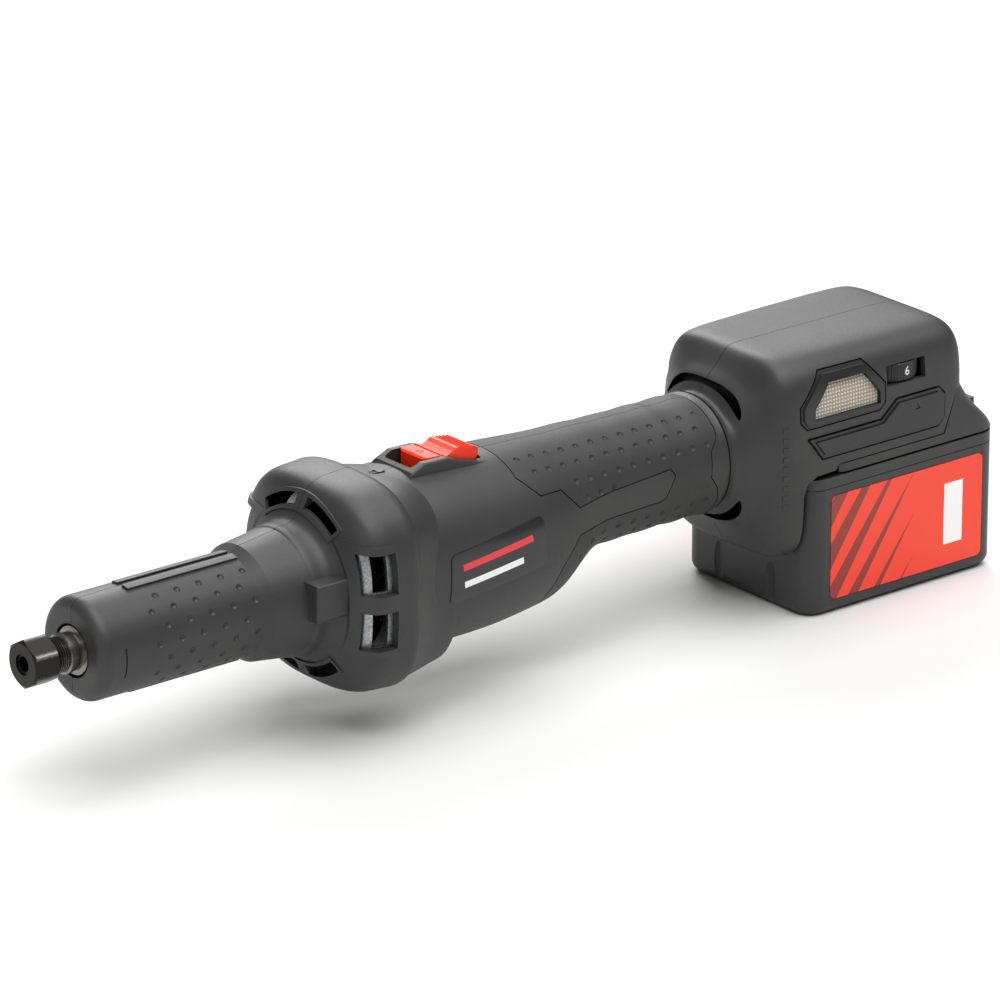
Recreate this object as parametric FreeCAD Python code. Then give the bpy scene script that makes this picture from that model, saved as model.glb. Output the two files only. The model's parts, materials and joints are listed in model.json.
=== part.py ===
"""Cordless straight die grinder with a long neck, a slide switch, a speed dial and a slide-on battery pack.

Frame: +X runs back along the tool from the collet mouth, +Z is up, the spindle turns about X at y = z = 0.
Sizes are in millimetres. Each sub-part is written to parts/NODE.step.
"""
import FreeCAD
import Part

import math
import os

V = FreeCAD.Vector

# ---------------------------------------------------------------- driving dimensions
SHANK_R = 3.0            # tool shank that the collet grips
NUT_AF = 17.0            # collet nut, across flats
NUT_FRONT = -0.8
NUT_REAR = 10.2
NUT_MOUTH_R = 4.1
THREAD_R = 6.95          # spindle nose thread, outside
THREAD_PITCH = 1.0
RUNNING = 0.05           # radial clearance of a running fit
TAPER_FRONT_R = 5.7      # collet taper, large end
TAPER_REAR_R = 3.9
COLLET_END = 18.0
SPINDLE_R = 6.0
SPINDLE_END = 118.0
MOTOR_SHAFT_R = 4.0
MOTOR_SHAFT_END = 214.0

WALL = 2.6               # housing wall
NECK_WALL = 3.0
SEAM = 0.24              # gap between the two halves of a shell
NOSE_X = 21.6            # front face of the neck
NOSE_HOLE_R = 10.5
NOSE_ROUND = 5.0
NECK_R = 20.4
NECK_END = 95.2
SHOULDER_R = 25.3
SHOULDER_X = 117.0
BELL_HALF = 41.9         # half height of the fan bell
BELL_END = 155.2
GRIP_R = 24.2
GRIP_Z = 8.8             # the grip's axis stands above the spindle's
GRIP_END = 322.2
HEAD_START = 323.0
HEAD_END = 436.6
HEAD_HALF_Y = 38.0
HEAD_TOP = 49.4
SKIRT_BOTTOM = -35.0

BEARING_12 = (6.0, 14.0, 8.0)      # bore radius, outer radius, width
BEARING_8 = (4.0, 11.0, 7.0)
NECK_BEARINGS = (30.0, 39.0, 98.0)
MOTOR_BEARINGS = (146.0, 204.0)

SLIDER_X = (182.3, 208.4)
SLIDER_HALF_Y = 8.0
SLIDER_SIDE_GAP = 0.5
SWITCH_TRAVEL = 6.0
SWITCH_TOP = 40.2

DIAL_R = 13.0
DIAL_HEIGHT = 7.4
DIAL_X = 402.8
DIAL_Z = 34.6
DIAL_REACH = 37.4        # how far out the dial's rim stands from the mid plane

PACK_X = (352.0, 454.0)
PACK_HALF_Y = 38.0
PACK_Z = (-59.0, -1.0)
PACK_SPLIT_Z = -5.6      # joint between the pack's case and its cover
PACK_WALL = 2.2
CELL_R = 9.1
CELL_LENGTH = 65.0
RAIL_GAP = 0.6           # clearance of the pack in the rail
RAIL_SLOT_HALF = 21.4
RAIL_CHANNEL_HALF = 25.4
RAIL_LIP_Z = 4.0
RAIL_CEILING = 10.0

LABEL_PROUD = 0.35
GROOVE = 0.45            # shadow gap round the soft grip


# ---------------------------------------------------------------- shared shapes
def box(x0, x1, y0, y1, z0, z1):
    return Part.makeBox(x1 - x0, y1 - y0, z1 - z0, V(x0, y0, z0))


def rod(radius, x0, x1, y=0.0, z=0.0):
    """Round bar along X."""
    return Part.makeCylinder(radius, x1 - x0, V(x0, y, z), V(1, 0, 0))


def ring(outer, inner, x0, x1, y=0.0, z=0.0):
    return rod(outer, x0, x1, y, z).cut(rod(inner, x0 - 1, x1 + 1, y, z))


def turned(points):
    """Solid of revolution about the spindle axis from (x, radius) corners."""
    wire = Part.makePolygon([V(x, 0, r) for x, r in points + points[:1]])
    return Part.Face(wire).revolve(V(0, 0, 0), V(1, 0, 0), 360)


def plate(points, y0, y1):
    """Prism along Y from (x, z) corners."""
    wire = Part.makePolygon([V(x, y0, z) for x, z in points + points[:1]])
    return Part.Face(wire).extrude(V(0, y1 - y0, 0))


def inset_plate(points, inset, y0, y1):
    """The same prism with its outline moved in by inset, or out where inset is negative."""
    wire = Part.makePolygon([V(x, y0, z) for x, z in points + points[:1]])
    return Part.Face(wire.makeOffset2D(-inset)).extrude(V(0, y1 - y0, 0))


def rounded_box(x0, x1, half_y, z0, z1, radius):
    """Block centred on the mid plane with its four upright edges rounded."""
    block = box(x0, x1, -half_y, half_y, z0, z1)
    upright = [e for e in block.Edges if abs(e.tangentAt(e.FirstParameter).z) > 0.9]
    return block.makeFillet(radius, upright)


def joined(shapes):
    return shapes[0].multiFuse(shapes[1:]).removeSplitter() if len(shapes) > 1 else shapes[0]


def carved(shape, tools):
    """Cut tools away one after another, which stays reliable where many of them meet."""
    for tool in tools:
        shape = shape.cut(tool)
    return shape


def mirrored(shape):
    return shape.mirror(V(0, 0, 0), V(0, 1, 0))


SECTION_POINTS = 48


def section(x, zc, half_y, half_z, power):
    """Closed superellipse at x: power 2 is an ellipse, and a higher power is squarer."""
    points = []
    for i in range(SECTION_POINTS):
        angle = 2 * math.pi * i / SECTION_POINTS
        c, s = math.cos(angle), math.sin(angle)
        r = (abs(c / half_y) ** power + abs(s / half_z) ** power) ** (-1 / power)
        points.append(V(x, r * c, zc + r * s))
    curve = Part.BSplineCurve()
    steps = [i / SECTION_POINTS for i in range(SECTION_POINTS + 1)]
    curve.interpolate(Points=points, PeriodicFlag=True, Parameters=steps)
    return Part.Wire([curve.toShape()])


def filled(stations, gap=9.0):
    """The same stations with eased ones added wherever two stand more than gap apart."""
    slopes = []
    for i, here in enumerate(stations):
        before, after = stations[max(i - 1, 0)], stations[min(i + 1, len(stations) - 1)]
        run = after[0] - before[0]
        rises = [(b - a) / run for a, b in zip(before, after)]
        turns = [(here[k] - before[k]) * (after[k] - here[k]) for k in range(5)]
        slopes.append([rise if turn > 0 else 0.0 for rise, turn in zip(rises, turns)])
    result = [stations[0]]
    for (a, sa), (b, sb) in zip(zip(stations, slopes), zip(stations[1:], slopes[1:])):
        run = b[0] - a[0]
        count = math.ceil(run / gap)
        for k in range(1, count):
            t = k / count
            ease = 3 * t * t - 2 * t ** 3
            values = [a[0] + run * t]
            for j in range(1, 5):
                bend = run * (t * (1 - t) ** 2 * sa[j] - t * t * (1 - t) * sb[j])
                values.append(a[j] + (b[j] - a[j]) * ease + bend)
            result.append(tuple(values))
        result.append(b)
    return result


def hull(stations, grow=0.0):
    """Smooth solid through stations of (x, centre z, half width, half height, power), grown all round."""
    wires = [section(x, zc, w + grow, h + grow, n) for x, zc, w, h, n in filled(stations)]
    return Part.makeLoft(wires, True, False)


def skin(stations, inside, outside):
    """Layer of a hull between two offsets from its surface."""
    return hull(stations, outside).cut(hull(stations, inside))


def split(shape):
    """Left (-Y) and right (+Y) halves with the seam gap between them."""
    far = 600.0
    left = shape.common(box(-far, far, -far, -SEAM / 2, -far, far))
    right = shape.common(box(-far, far, SEAM / 2, far, -far, far))
    return left, right


def sector(r0, r1, x0, x1, mid, half_angle):
    """Part of a ring about the spindle axis, centred mid degrees from the top."""
    wedge = rod(r1, x0, x1).cut(rod(r0, x0 - 1, x1 + 1))
    reach = 2 * r1
    a0, a1 = math.radians(mid - half_angle), math.radians(mid + half_angle)
    corners = [V(x0, 0, 0)]
    corners += [V(x0, -reach * math.sin(a), reach * math.cos(a)) for a in (a0, (a0 + a1) / 2, a1)]
    fan = Part.Face(Part.makePolygon(corners + corners[:1])).extrude(V(x1 - x0, 0, 0))
    return wedge.common(fan)


def surface_point(solid, x, zc, angle):
    """Point of a solid's skin at x, angle degrees from the top towards -Y."""
    a = math.radians(angle)
    start = V(x, 0, zc)
    end = start + V(0, -math.sin(a), math.cos(a)) * 80
    inside = Part.makeLine(start, end).common(solid)
    return max((v.Point for v in inside.Vertexes), key=lambda p: (p - start).Length)


def dimples(solid, zc, rows):
    """Shallow round finger dimples: rows of (angle, first x, pitch, count), on both sides."""
    balls = []
    for angle, first, pitch, count in rows:
        for i in range(count):
            p = surface_point(solid, first + i * pitch, zc, angle)
            out = V(0, p.y, p.z - zc).normalize()
            ball = Part.makeSphere(DIMPLE_R, p + out * (DIMPLE_R - DIMPLE_DEPTH), out)
            balls += [ball, mirrored(ball)]
    return balls


DIMPLE_R = 1.6
DIMPLE_DEPTH = 0.75
DIMPLE_PITCH = 10.1

# ---------------------------------------------------------------- outer forms
BELL = [
    (111.0, 0, SHOULDER_R - 3.2, SHOULDER_R - 3.2, 2.0),
    (115.5, 0, SHOULDER_R - 1.0, SHOULDER_R - 1.0, 2.0),
    (120.5, 0, 25.9, 25.9, 2.0),
    (124.5, 0, 26.9, 26.8, 2.05),
    (127.0, 0, 29.6, 29.4, 2.2),
    (129.0, 0, 33.4, 33.0, 2.5),
    (131.0, 0, 37.2, 36.8, 2.8),
    (133.5, 0, 40.0, 39.5, 3.0),
    (138.0, 0, 41.8, 41.2, 3.1),
    (146.0, 0, BELL_HALF + 0.4, BELL_HALF, 3.1),
    (152.0, 0, BELL_HALF + 0.4, BELL_HALF, 3.1),
    (154.2, 0, BELL_HALF - 0.7, BELL_HALF - 1.1, 3.1),
    (BELL_END, 0, BELL_HALF - 2.3, BELL_HALF - 3.2, 3.1),
]
COLLAR = [
    (150.5, -1.8, 41.2, 39.4, 3.1),
    (158.0, -1.9, 38.6, 39.3, 3.1),
    (165.0, -2.2, 35.6, 39.2, 3.0),
    (171.0, -2.8, 34.6, 38.8, 2.7),
    (178.0, -3.3, 34.0, 38.3, 2.4),
]
BODY = [
    (151.5, 1.0, 35.5, 36.0, 2.25),
    (175.0, 1.2, 35.5, 35.8, 2.25),
    (205.0, 0.6, 34.4, 35.2, 2.2),
    (226.0, 1.0, 32.5, 33.9, 2.15),
    (238.0, 1.6, 30.3, 32.8, 2.1),
    (246.0, 3.8, 28.2, 30.2, 2.1),
    (254.0, 6.9, 26.0, 27.0, 2.1),
    (262.0, GRIP_Z, GRIP_R + 0.4, GRIP_R + 0.9, 2.1),
    (275.0, GRIP_Z, GRIP_R + 0.2, GRIP_R + 0.3, 2.1),
    (300.0, GRIP_Z, GRIP_R, GRIP_R, 2.1),
    (GRIP_END, GRIP_Z, GRIP_R, GRIP_R, 2.1),
]
HEAD_Z = (HEAD_TOP + SKIRT_BOTTOM) / 2
HEAD_HALF_Z = (HEAD_TOP - SKIRT_BOTTOM) / 2
HEAD = [
    (HEAD_START, GRIP_Z, GRIP_R, GRIP_R, 2.1),
    (329.0, GRIP_Z + 0.2, GRIP_R + 1.8, GRIP_R + 2.8, 2.25),
    (334.0, 9.4, 30.2, 31.6, 2.7),
    (338.0, 8.6, 33.8, 36.7, 3.4),
    (342.0, 7.5, 36.3, HEAD_HALF_Z - 1.0, 4.4),
    (347.0, HEAD_Z, HEAD_HALF_Y - 0.6, HEAD_HALF_Z, 4.9),
    (356.0, HEAD_Z, HEAD_HALF_Y, HEAD_HALF_Z, 5.3),
    (375.0, HEAD_Z, HEAD_HALF_Y, HEAD_HALF_Z, 5.7),
    (400.0, HEAD_Z, HEAD_HALF_Y, HEAD_HALF_Z, 6.0),
    (426.0, HEAD_Z, HEAD_HALF_Y - 0.3, HEAD_HALF_Z - 0.4, 6.2),
    (431.5, HEAD_Z, HEAD_HALF_Y - 1.2, HEAD_HALF_Z - 1.4, 6.0),
    (434.8, HEAD_Z, HEAD_HALF_Y - 3.6, HEAD_HALF_Z - 3.8, 5.4),
    (HEAD_END, HEAD_Z, HEAD_HALF_Y - 8.2, HEAD_HALF_Z - 8.4, 4.8),
]

# Outlines in the side view, as (x, z) corners.
GRIP_OUTLINE = [
    (216.0, 60.0), (216.0, 28.5), (223.7, 21.0), (234.7, 20.4), (242.8, 11.8), (292.4, 14.8),
    (294.3, 11.9), (289.7, 3.9), (287.4, 2.9), (241.9, 1.6), (232.8, -8.8), (228.0, -20.0),
    (226.0, -60.0), (318.6, -60.0), (318.6, -4.0), (316.8, 1.9), (313.3, 6.9), (313.8, 17.1),
    (318.2, 21.3), (319.0, 24.0), (319.0, 60.0),
]
FILTER_OUTLINE = [
    (347.2, 31.3), (358.6, 44.2), (381.4, 44.2), (392.0, 32.8), (392.0, 24.2), (388.9, 21.4),
    (350.4, 21.4), (347.2, 25.0),
]
CLOTH_OUTLINE = [(354.3, 29.4), (362.0, 39.0), (381.0, 39.0), (388.6, 29.6), (388.6, 24.8), (354.3, 24.8)]
TRIM_OUTLINE = [
    (351.5, 17.4), (389.5, 17.4), (397.8, 24.3), (420.0, 24.3), (423.4, 21.0), (423.4, 11.2),
    (420.4, 8.2), (358.8, 8.2),
]
BAY_OUTLINE = [
    (349.5, -60.0), (349.5, -6.0), (351.5, -1.2), (356.0, 1.2), (366.0, 1.6), (368.0, RAIL_LIP_Z),
    (423.6, RAIL_LIP_Z), (430.8, 21.2), (460.0, 21.2), (460.0, -60.0),
]
FOOT_OUTLINE = [
    (368.4, 0.0), (368.4, RAIL_LIP_Z - 0.5), (424.0, RAIL_LIP_Z - 0.5), (431.3, 20.8), (460.0, 20.8), (460.0, 0.0),
]


# ---------------------------------------------------------------- spindle, collet and nut
def taper_radius(x):
    return TAPER_FRONT_R + (TAPER_REAR_R - TAPER_FRONT_R) * (x - 4.6) / (COLLET_END - 4.6)


def spindle():
    thread = []
    depth = 0.55
    x = 5.0
    while x < 15.4:
        thread += [(x, THREAD_R - depth), (x + THREAD_PITCH / 2, THREAD_R)]
        x += THREAD_PITCH
    profile = [(4.5, THREAD_R - depth)] + thread + [
        (15.8, THREAD_R - depth), (16.2, 7.4), (16.5, 7.9), (18.2, 7.9), (18.5, 7.5), (21.5, 7.5),
        (22.0, 9.4), (28.5, 9.4), (28.5, 7.0), (30.0, 7.0), (30.0, SPINDLE_R), (96.0, SPINDLE_R),
        (SPINDLE_END, SPINDLE_R), (SPINDLE_END, 0.0), (40.0, 0.0), (38.0, SHANK_R + 0.3),
        (COLLET_END + 1.0, SHANK_R + 0.3), (COLLET_END + 1.0, TAPER_REAR_R + RUNNING),
        (COLLET_END, taper_radius(COLLET_END) + RUNNING), (4.5, taper_radius(4.5) + RUNNING),
    ]
    return turned(profile)


def collet():
    body = turned([
        (0.0, SHANK_R), (0.0, 3.9), (1.8, 5.3), (3.0, 5.3), (3.3, 4.8), (4.3, 4.8), (4.6, taper_radius(4.6)),
        (COLLET_END, taper_radius(COLLET_END)), (COLLET_END, SHANK_R),
    ])
    for k in range(4):
        front = box(-1, 13.5, 0, 8, -0.25, 0.25)
        rear = box(5.0, COLLET_END + 1, 0, 8, -0.25, 0.25)
        front.rotate(V(0, 0, 0), V(1, 0, 0), 90 * k)
        rear.rotate(V(0, 0, 0), V(1, 0, 0), 90 * k + 45)
        body = body.cut(front).cut(rear)
    return body


def collet_nut():
    corner = NUT_AF / math.sqrt(3)
    angles = [math.radians(30 + 60 * k) for k in range(6)]
    points = [V(NUT_FRONT, corner * math.cos(a), corner * math.sin(a)) for a in angles]
    hexagon = Part.Face(Part.makePolygon(points + points[:1])).extrude(V(NUT_REAR - NUT_FRONT, 0, 0))
    flat = NUT_AF / 2 - 0.25
    bevel = (corner - flat) * math.tan(math.radians(30))
    outside = turned([
        (NUT_FRONT, 0), (NUT_FRONT, flat), (NUT_FRONT + bevel, corner + 0.01), (NUT_REAR - bevel, corner + 0.01),
        (NUT_REAR, flat), (NUT_REAR, 0),
    ])
    bore = turned([
        (NUT_FRONT - 1, 0), (NUT_FRONT - 1, NUT_MOUTH_R), (-0.1, NUT_MOUTH_R), (1.6, 5.5), (4.2, 5.5),
        (4.2, THREAD_R + RUNNING), (NUT_REAR - 0.5, THREAD_R + RUNNING), (NUT_REAR + 1, THREAD_R + 1.2),
        (NUT_REAR + 1, 0),
    ])
    return hexagon.common(outside).cut(bore)


def bearings():
    """Inner races, balls and outer races of the neck and motor bearings."""
    inner, balls, outer = [], [], []
    places = [(x, BEARING_12) for x in NECK_BEARINGS] + [(x, BEARING_8) for x in MOTOR_BEARINGS]
    for x, (bore, outside, width) in places:
        mid = (bore + outside) / 2
        ball = (outside - bore) * 0.24
        groove = Part.makeTorus(mid, ball + RUNNING, V(x + width / 2, 0, 0), V(1, 0, 0))
        inner.append(ring(mid - ball * 0.55, bore, x, x + width).cut(groove))
        outer.append(ring(outside, mid + ball * 0.55, x, x + width).cut(groove))
        count = int(math.pi * mid / (ball * 1.35))
        for k in range(count):
            a = 2 * math.pi * k / count
            balls.append(Part.makeSphere(ball, V(x + width / 2, mid * math.cos(a), mid * math.sin(a))))
    return inner, balls, outer


def cooling_fan():
    hub = ring(9.0, MOTOR_SHAFT_R, 131.0, 142.5).fuse(turned([
        (139.8, MOTOR_SHAFT_R), (139.8, 18.0), (141.2, 30.0), (142.6, 30.0), (142.6, MOTOR_SHAFT_R),
    ]))
    blades = []
    for k in range(13):
        blade = box(132.5, 141.5, -0.6, 0.6, 12.0, 30.0)
        blade.rotate(V(0, 0, 12), V(1, 0, 0), 24)
        blade.rotate(V(0, 0, 0), V(1, 0, 0), 360 / 13 * k)
        blades.append(blade)
    return joined([hub] + blades).common(rod(30.0, 130.0, 143.0))


# ---------------------------------------------------------------- motor
STATOR_X = (168.0, 194.0)
STATOR_R = 27.0
STATOR_BORE = 17.0
ROTOR_R = 14.2
MAGNET = 2.0
TEETH = 6
COIL_HALF_Y = 5.8


def stator_core():
    yoke = ring(STATOR_R, 23.0, *STATOR_X)
    teeth = []
    for k in range(TEETH):
        arm = box(*STATOR_X, -3.0, 3.0, 18.0, 24.0)
        shoe = sector(STATOR_BORE, 19.0, *STATOR_X, 0, 24)
        tooth = arm.fuse(shoe)
        tooth.rotate(V(0, 0, 0), V(1, 0, 0), 60 * k)
        teeth.append(tooth)
    return joined([yoke] + teeth)


def stator_windings():
    coils = []
    x0, x1 = STATOR_X
    for k in range(TEETH):
        coil = box(x0 - 5.0, x1 + 5.0, -COIL_HALF_Y, COIL_HALF_Y, 19.4, 22.0).cut(box(x0 - 1.6, x1 + 1.6, -3.4, 3.4, 15, 26))
        upright = [e for e in coil.Edges if abs(e.tangentAt(e.FirstParameter).z) > 0.9]
        long_edges = [e for e in upright if abs(abs(e.CenterOfMass.y) - COIL_HALF_Y) < 0.1]
        coil = coil.makeFillet(2.8, long_edges)
        coil.rotate(V(0, 0, 0), V(1, 0, 0), 60 * k)
        coils.append(coil)
    return coils


def stator_insulators():
    x0, x1 = STATOR_X
    return [ring(STATOR_R - 0.4, 23.2, x0 - 4.5, x0 - 0.1), ring(STATOR_R - 0.4, 23.2, x1 + 0.1, x1 + 4.5)]


def rotor_magnets():
    return [sector(ROTOR_R + 0.05, ROTOR_R + MAGNET, STATOR_X[0] + 1, STATOR_X[1] - 1, 90 * k, 41) for k in range(4)]


# ---------------------------------------------------------------- neck and bell
def neck_tube():
    tube = ring(NECK_R - NECK_WALL - 0.1, BEARING_12[1], 28.5, 108.0)
    relief = ring(BEARING_12[1] + 1.2, BEARING_12[1] - 1, 49.0, 96.0)
    return tube.cut(relief)


WINDOW_X = (129.6, 142.2)
WINDOW_Z = ((5.4, 21.6), (-16.6, -1.2))
VENT_R = (31.6, 36.2)
VENT_ANGLES = (21.5, -21.5, 158.5, -158.5)


def bell_frame(grow_front):
    """The bell's surface raised by grow_front on its shoulder, and fading out towards its rear."""
    raised = []
    for x, zc, w, h, n in BELL:
        grow = grow_front if x < 134 else max(0.1, grow_front * (143.0 - x) / 9.0)
        raised.append((x, zc, w + grow, h + grow, n))
    return hull(raised)


def neck_shell():
    rim = NOSE_ROUND
    flat_r = NECK_R - rim
    inside = NECK_R - NECK_WALL
    arc_x = NOSE_X + rim * (1 - math.sqrt(0.5))
    arc = Part.Arc(V(NOSE_X, 0, flat_r), V(arc_x, 0, flat_r + rim * math.sqrt(0.5)), V(NOSE_X + rim, 0, NECK_R)).toShape()
    corners = [
        (NOSE_X + rim, NECK_R), (NECK_END, NECK_R), (NECK_END + 4.0, NECK_R + 2.6), (SHOULDER_X, SHOULDER_R),
        (SHOULDER_X + 3.0, SHOULDER_R - 2.0), (SHOULDER_X + 3.0, 21.0), (112.0, 20.0), (110.0, inside),
        (26.0, inside), (26.0, NOSE_HOLE_R), (NOSE_X, NOSE_HOLE_R), (NOSE_X, flat_r),
    ]
    runs = [Part.makeLine(V(a[0], 0, a[1]), V(b[0], 0, b[1])) for a, b in zip(corners, corners[1:])]
    shell = Part.Face(Part.Wire([arc] + runs)).revolve(V(0, 0, 0), V(1, 0, 0), 360)
    for middle in (0, 180):
        for side in (1, -1):
            shell = shell.fuse(sector(NECK_R - 1.0, NECK_R + 0.9, 44.0, 95.0, middle + side * 8.6, 4.9))
    rows = [(31.0 + 17.6 * k, 52.5 if k % 2 == 0 else 47.4, DIMPLE_PITCH, 5) for k in range(7)]
    tools = dimples(rod(NECK_R, 30, 100), 0, rows)
    for side in (1, -1):
        tools.append(sector(NECK_R - 0.5, NECK_R + 1, 31.6, 32.3, side * 95, 17))
    return carved(shell, tools)


def bell_shell():
    frame = bell_frame(1.3)
    raised_rim = bell_frame(1.1)
    shell = hull(BELL)
    for side in (1, -1):
        y0, y1 = sorted((side * 20.0, side * 60.0))
        shell = shell.fuse(frame.common(box(WINDOW_X[0] - 2.2, WINDOW_X[1] + 0.8, y0, y1, -19.2, 24.6)))
    for middle in (0, 180):
        shell = shell.fuse(raised_rim.common(sector(30.2, 37.6, 122.0, 138.0, middle, 40.5)))
    for side in (1, -1):
        tab = box(113.2, 131.0, *sorted((side * 18.0, side * 30.6)), -3.4, 11.6)
        edges = [e for e in tab.Edges if abs(e.CenterOfMass.y - side * 30.6) < 0.01]
        shell = shell.fuse(tab.makeFillet(1.4, edges))
    cavity = hull([(x, zc, w, h, n) for x, zc, w, h, n in BELL if x >= 127.0][:7], -NECK_WALL)
    throat = turned([(100.0, 0), (100.0, 20.0), (112.0, 20.0), (124.0, 21.8), (131.0, 30.0), (131.0, 0)])
    shell = carved(shell, [throat, cavity, hull(COLLAR, 0.2)])
    tools = []
    for z0, z1 in WINDOW_Z:
        tools.append(box(*WINDOW_X, 24.0, 60.0, z0, z1))
        tools.append(box(*WINDOW_X, -60.0, -24.0, z0, z1))
    for angle in VENT_ANGLES:
        tools.append(sector(*VENT_R, 122.0, 136.0, angle, 16.5))
    return carved(shell, tools)


def front_cover():
    return split(neck_shell().fuse(bell_shell()))


def fan_shroud():
    places = [s for s in BELL if 131.0 <= s[0] <= 146.0]
    wall = hull(places, -NECK_WALL - 0.3).cut(hull(places, -NECK_WALL - 1.7))
    ports = []
    for z0, z1 in WINDOW_Z:
        for side in (1, -1):
            ports.append(box(WINDOW_X[0] + 4.4, WINDOW_X[1] - 2.2, *sorted((side * 24.0, side * 60.0)),
                             z0 + 0.8, z1 - 1.0))
    for angle in VENT_ANGLES:
        ports.append(sector(28.0, 60.0, 130.0, 136.0, angle, 16.5))
    return wall.cut(ports)


def motor_bracket():
    disc = ring(36.0, BEARING_8[1], 144.6, 148.6).fuse(ring(14.5, BEARING_8[1], 144.6, 154.0))
    holes = [sector(18.0, 31.0, 140, 160, 45 + 90 * k, 32) for k in range(4)]
    return disc.cut(holes)


# ---------------------------------------------------------------- main housing
def switch_surround():
    side_view = [
        (171.5, 28.0), (171.5, 35.0), (173.6, 37.6), (179.5, SWITCH_TOP), (190.5, SWITCH_TOP - 0.3),
        (198.0, 37.4), (206.0, 35.0), (216.0, 33.2), (216.0, 28.0),
    ]
    block = plate(side_view, -11.8, 11.8)
    edges = [e for e in block.Edges if abs(abs(e.CenterOfMass.y) - 11.8) < 0.01 and e.CenterOfMass.z > 34.0
             and e.CenterOfMass.x > 173.0]
    return block.makeFillet(1.2, edges)


def slider_slot():
    front = SLIDER_X[0] - SWITCH_TRAVEL - 0.9
    rear = SLIDER_X[1] + 1.6
    return rounded_box(front, rear, SLIDER_HALF_Y + SLIDER_SIDE_GAP, 29.0, 60.0, 1.6)


def stator_ribs():
    ribs = []
    for k in range(6):
        rib = box(STATOR_X[0] + 2, STATOR_X[1] - 2, -1.5, 1.5, STATOR_R + 0.1, 40.0)
        rib.rotate(V(0, 0, 0), V(1, 0, 0), 30 + 60 * k)
        ribs.append(rib)
    return ribs


SCREWS = ((160.0, -30.0), (160.0, 29.5), (210.5, 24.0), (210.5, -23.0), (268.0, 8.8), (304.0, 8.8))
HEAD_SCREWS = ((428.0, 35.0), (341.0, 30.0))


def screw_bores(places, seat_y):
    """Stepped holes for the clamp screws, which enter from the +Y side."""
    tools = []
    for x, z in places:
        tools.append(Part.makeCylinder(3.6, 60.0, V(x, seat_y, z), V(0, 1, 0)))
        tools.append(Part.makeCylinder(1.9, 2 * seat_y, V(x, -seat_y, z), V(0, 1, 0)))
    return tools


def screw_posts(places, limit):
    """Bosses from wall to wall, trimmed inside a shell's skin."""
    return [Part.makeCylinder(4.8, 120.0, V(x, -60.0, z), V(0, 1, 0)).common(limit) for x, z in places]


def screw(x, z, seat_y):
    head = Part.makeCylinder(3.3, 2.6, V(x, seat_y, z), V(0, 1, 0))
    shank = Part.makeCylinder(1.7, seat_y + 8.0, V(x, -8.0, z), V(0, 1, 0))
    star = []
    for k in range(3):
        arm = box(-2.0, 2.0, -0.1, 2.0, -0.55, 0.55)
        arm.rotate(V(0, 0, 0), V(0, 1, 0), 60 * k)
        arm.translate(V(x, seat_y + 1.2, z))
        star.append(arm)
    return joined([head, shank]).cut(star)


SCREW_SEAT = 9.0
HEAD_SCREW_SEAT = 20.0


def main_housing():
    body = hull(BODY)
    outer = joined([body, hull(COLLAR), switch_surround()])
    hollows = [
        hull(BODY, -WALL), hull(COLLAR, -WALL - 0.2).common(box(140, 175.4, -60, 60, -60, 60)),
        rod(GRIP_R - WALL, GRIP_END - 10, GRIP_END + 5, 0, GRIP_Z),
    ]
    limit = hull(BODY, -WALL + 0.5)
    web = ring(60.0, BEARING_8[1], 204.0, 208.0)
    web = web.cut([sector(14.0, 26.0, 200, 214, 60 * k + 30, 22) for k in range(6)])
    web = web.fuse(ring(13.6, BEARING_8[1], 200.5, 211.0))
    inner = joined([web] + stator_ribs()).common(limit).cut(rod(STATOR_R + 0.1, 150, 200.4))
    shell = carved(outer, hollows).fuse(inner)
    posts = screw_posts(SCREWS[:2], hull(COLLAR, -WALL + 0.5)) + screw_posts(SCREWS[2:], limit)
    for post in posts:
        shell = shell.fuse(post)
    rod_channel = box(176.0, 250.0, -4.6, 4.6, 27.4, 30.8)
    outline = plate(GRIP_OUTLINE, -60, 60).cut(hull(BODY, -GRIP_SLEEVE - 0.15))
    shell = carved(shell, [slider_slot(), rod_channel, outline] + screw_bores(SCREWS, SCREW_SEAT))
    return split(shell)


GRIP_SLEEVE = 1.5


def grip_sleeve():
    layer = skin(BODY, -GRIP_SLEEVE, 0.0).common(inset_plate(GRIP_OUTLINE, GROOVE, -60, 60))
    layer = layer.common(box(200, GRIP_END - 0.2, -60, 60, -60, 60))
    rows = [
        (30.0, 222.7, 7.57, 13), (45.6, 226.5, 7.57, 12), (62.0, 244.6, 7.57, 10), (77.0, 248.4, 7.57, 3),
        (118.0, 252.2, 7.57, 9), (133.5, 248.4, 7.57, 9), (149.0, 252.2, 7.57, 9),
    ]
    pits = [pit for pit in dimples(hull(BODY), GRIP_Z, rows) if pit.BoundBox.YMax < 0]
    left = split(layer)[0].cut(pits)
    x, z = SCREWS[-1]
    return left, mirrored(left).cut(Part.makeCylinder(3.6, 60.0, V(x, SCREW_SEAT, z), V(0, 1, 0)))


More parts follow.
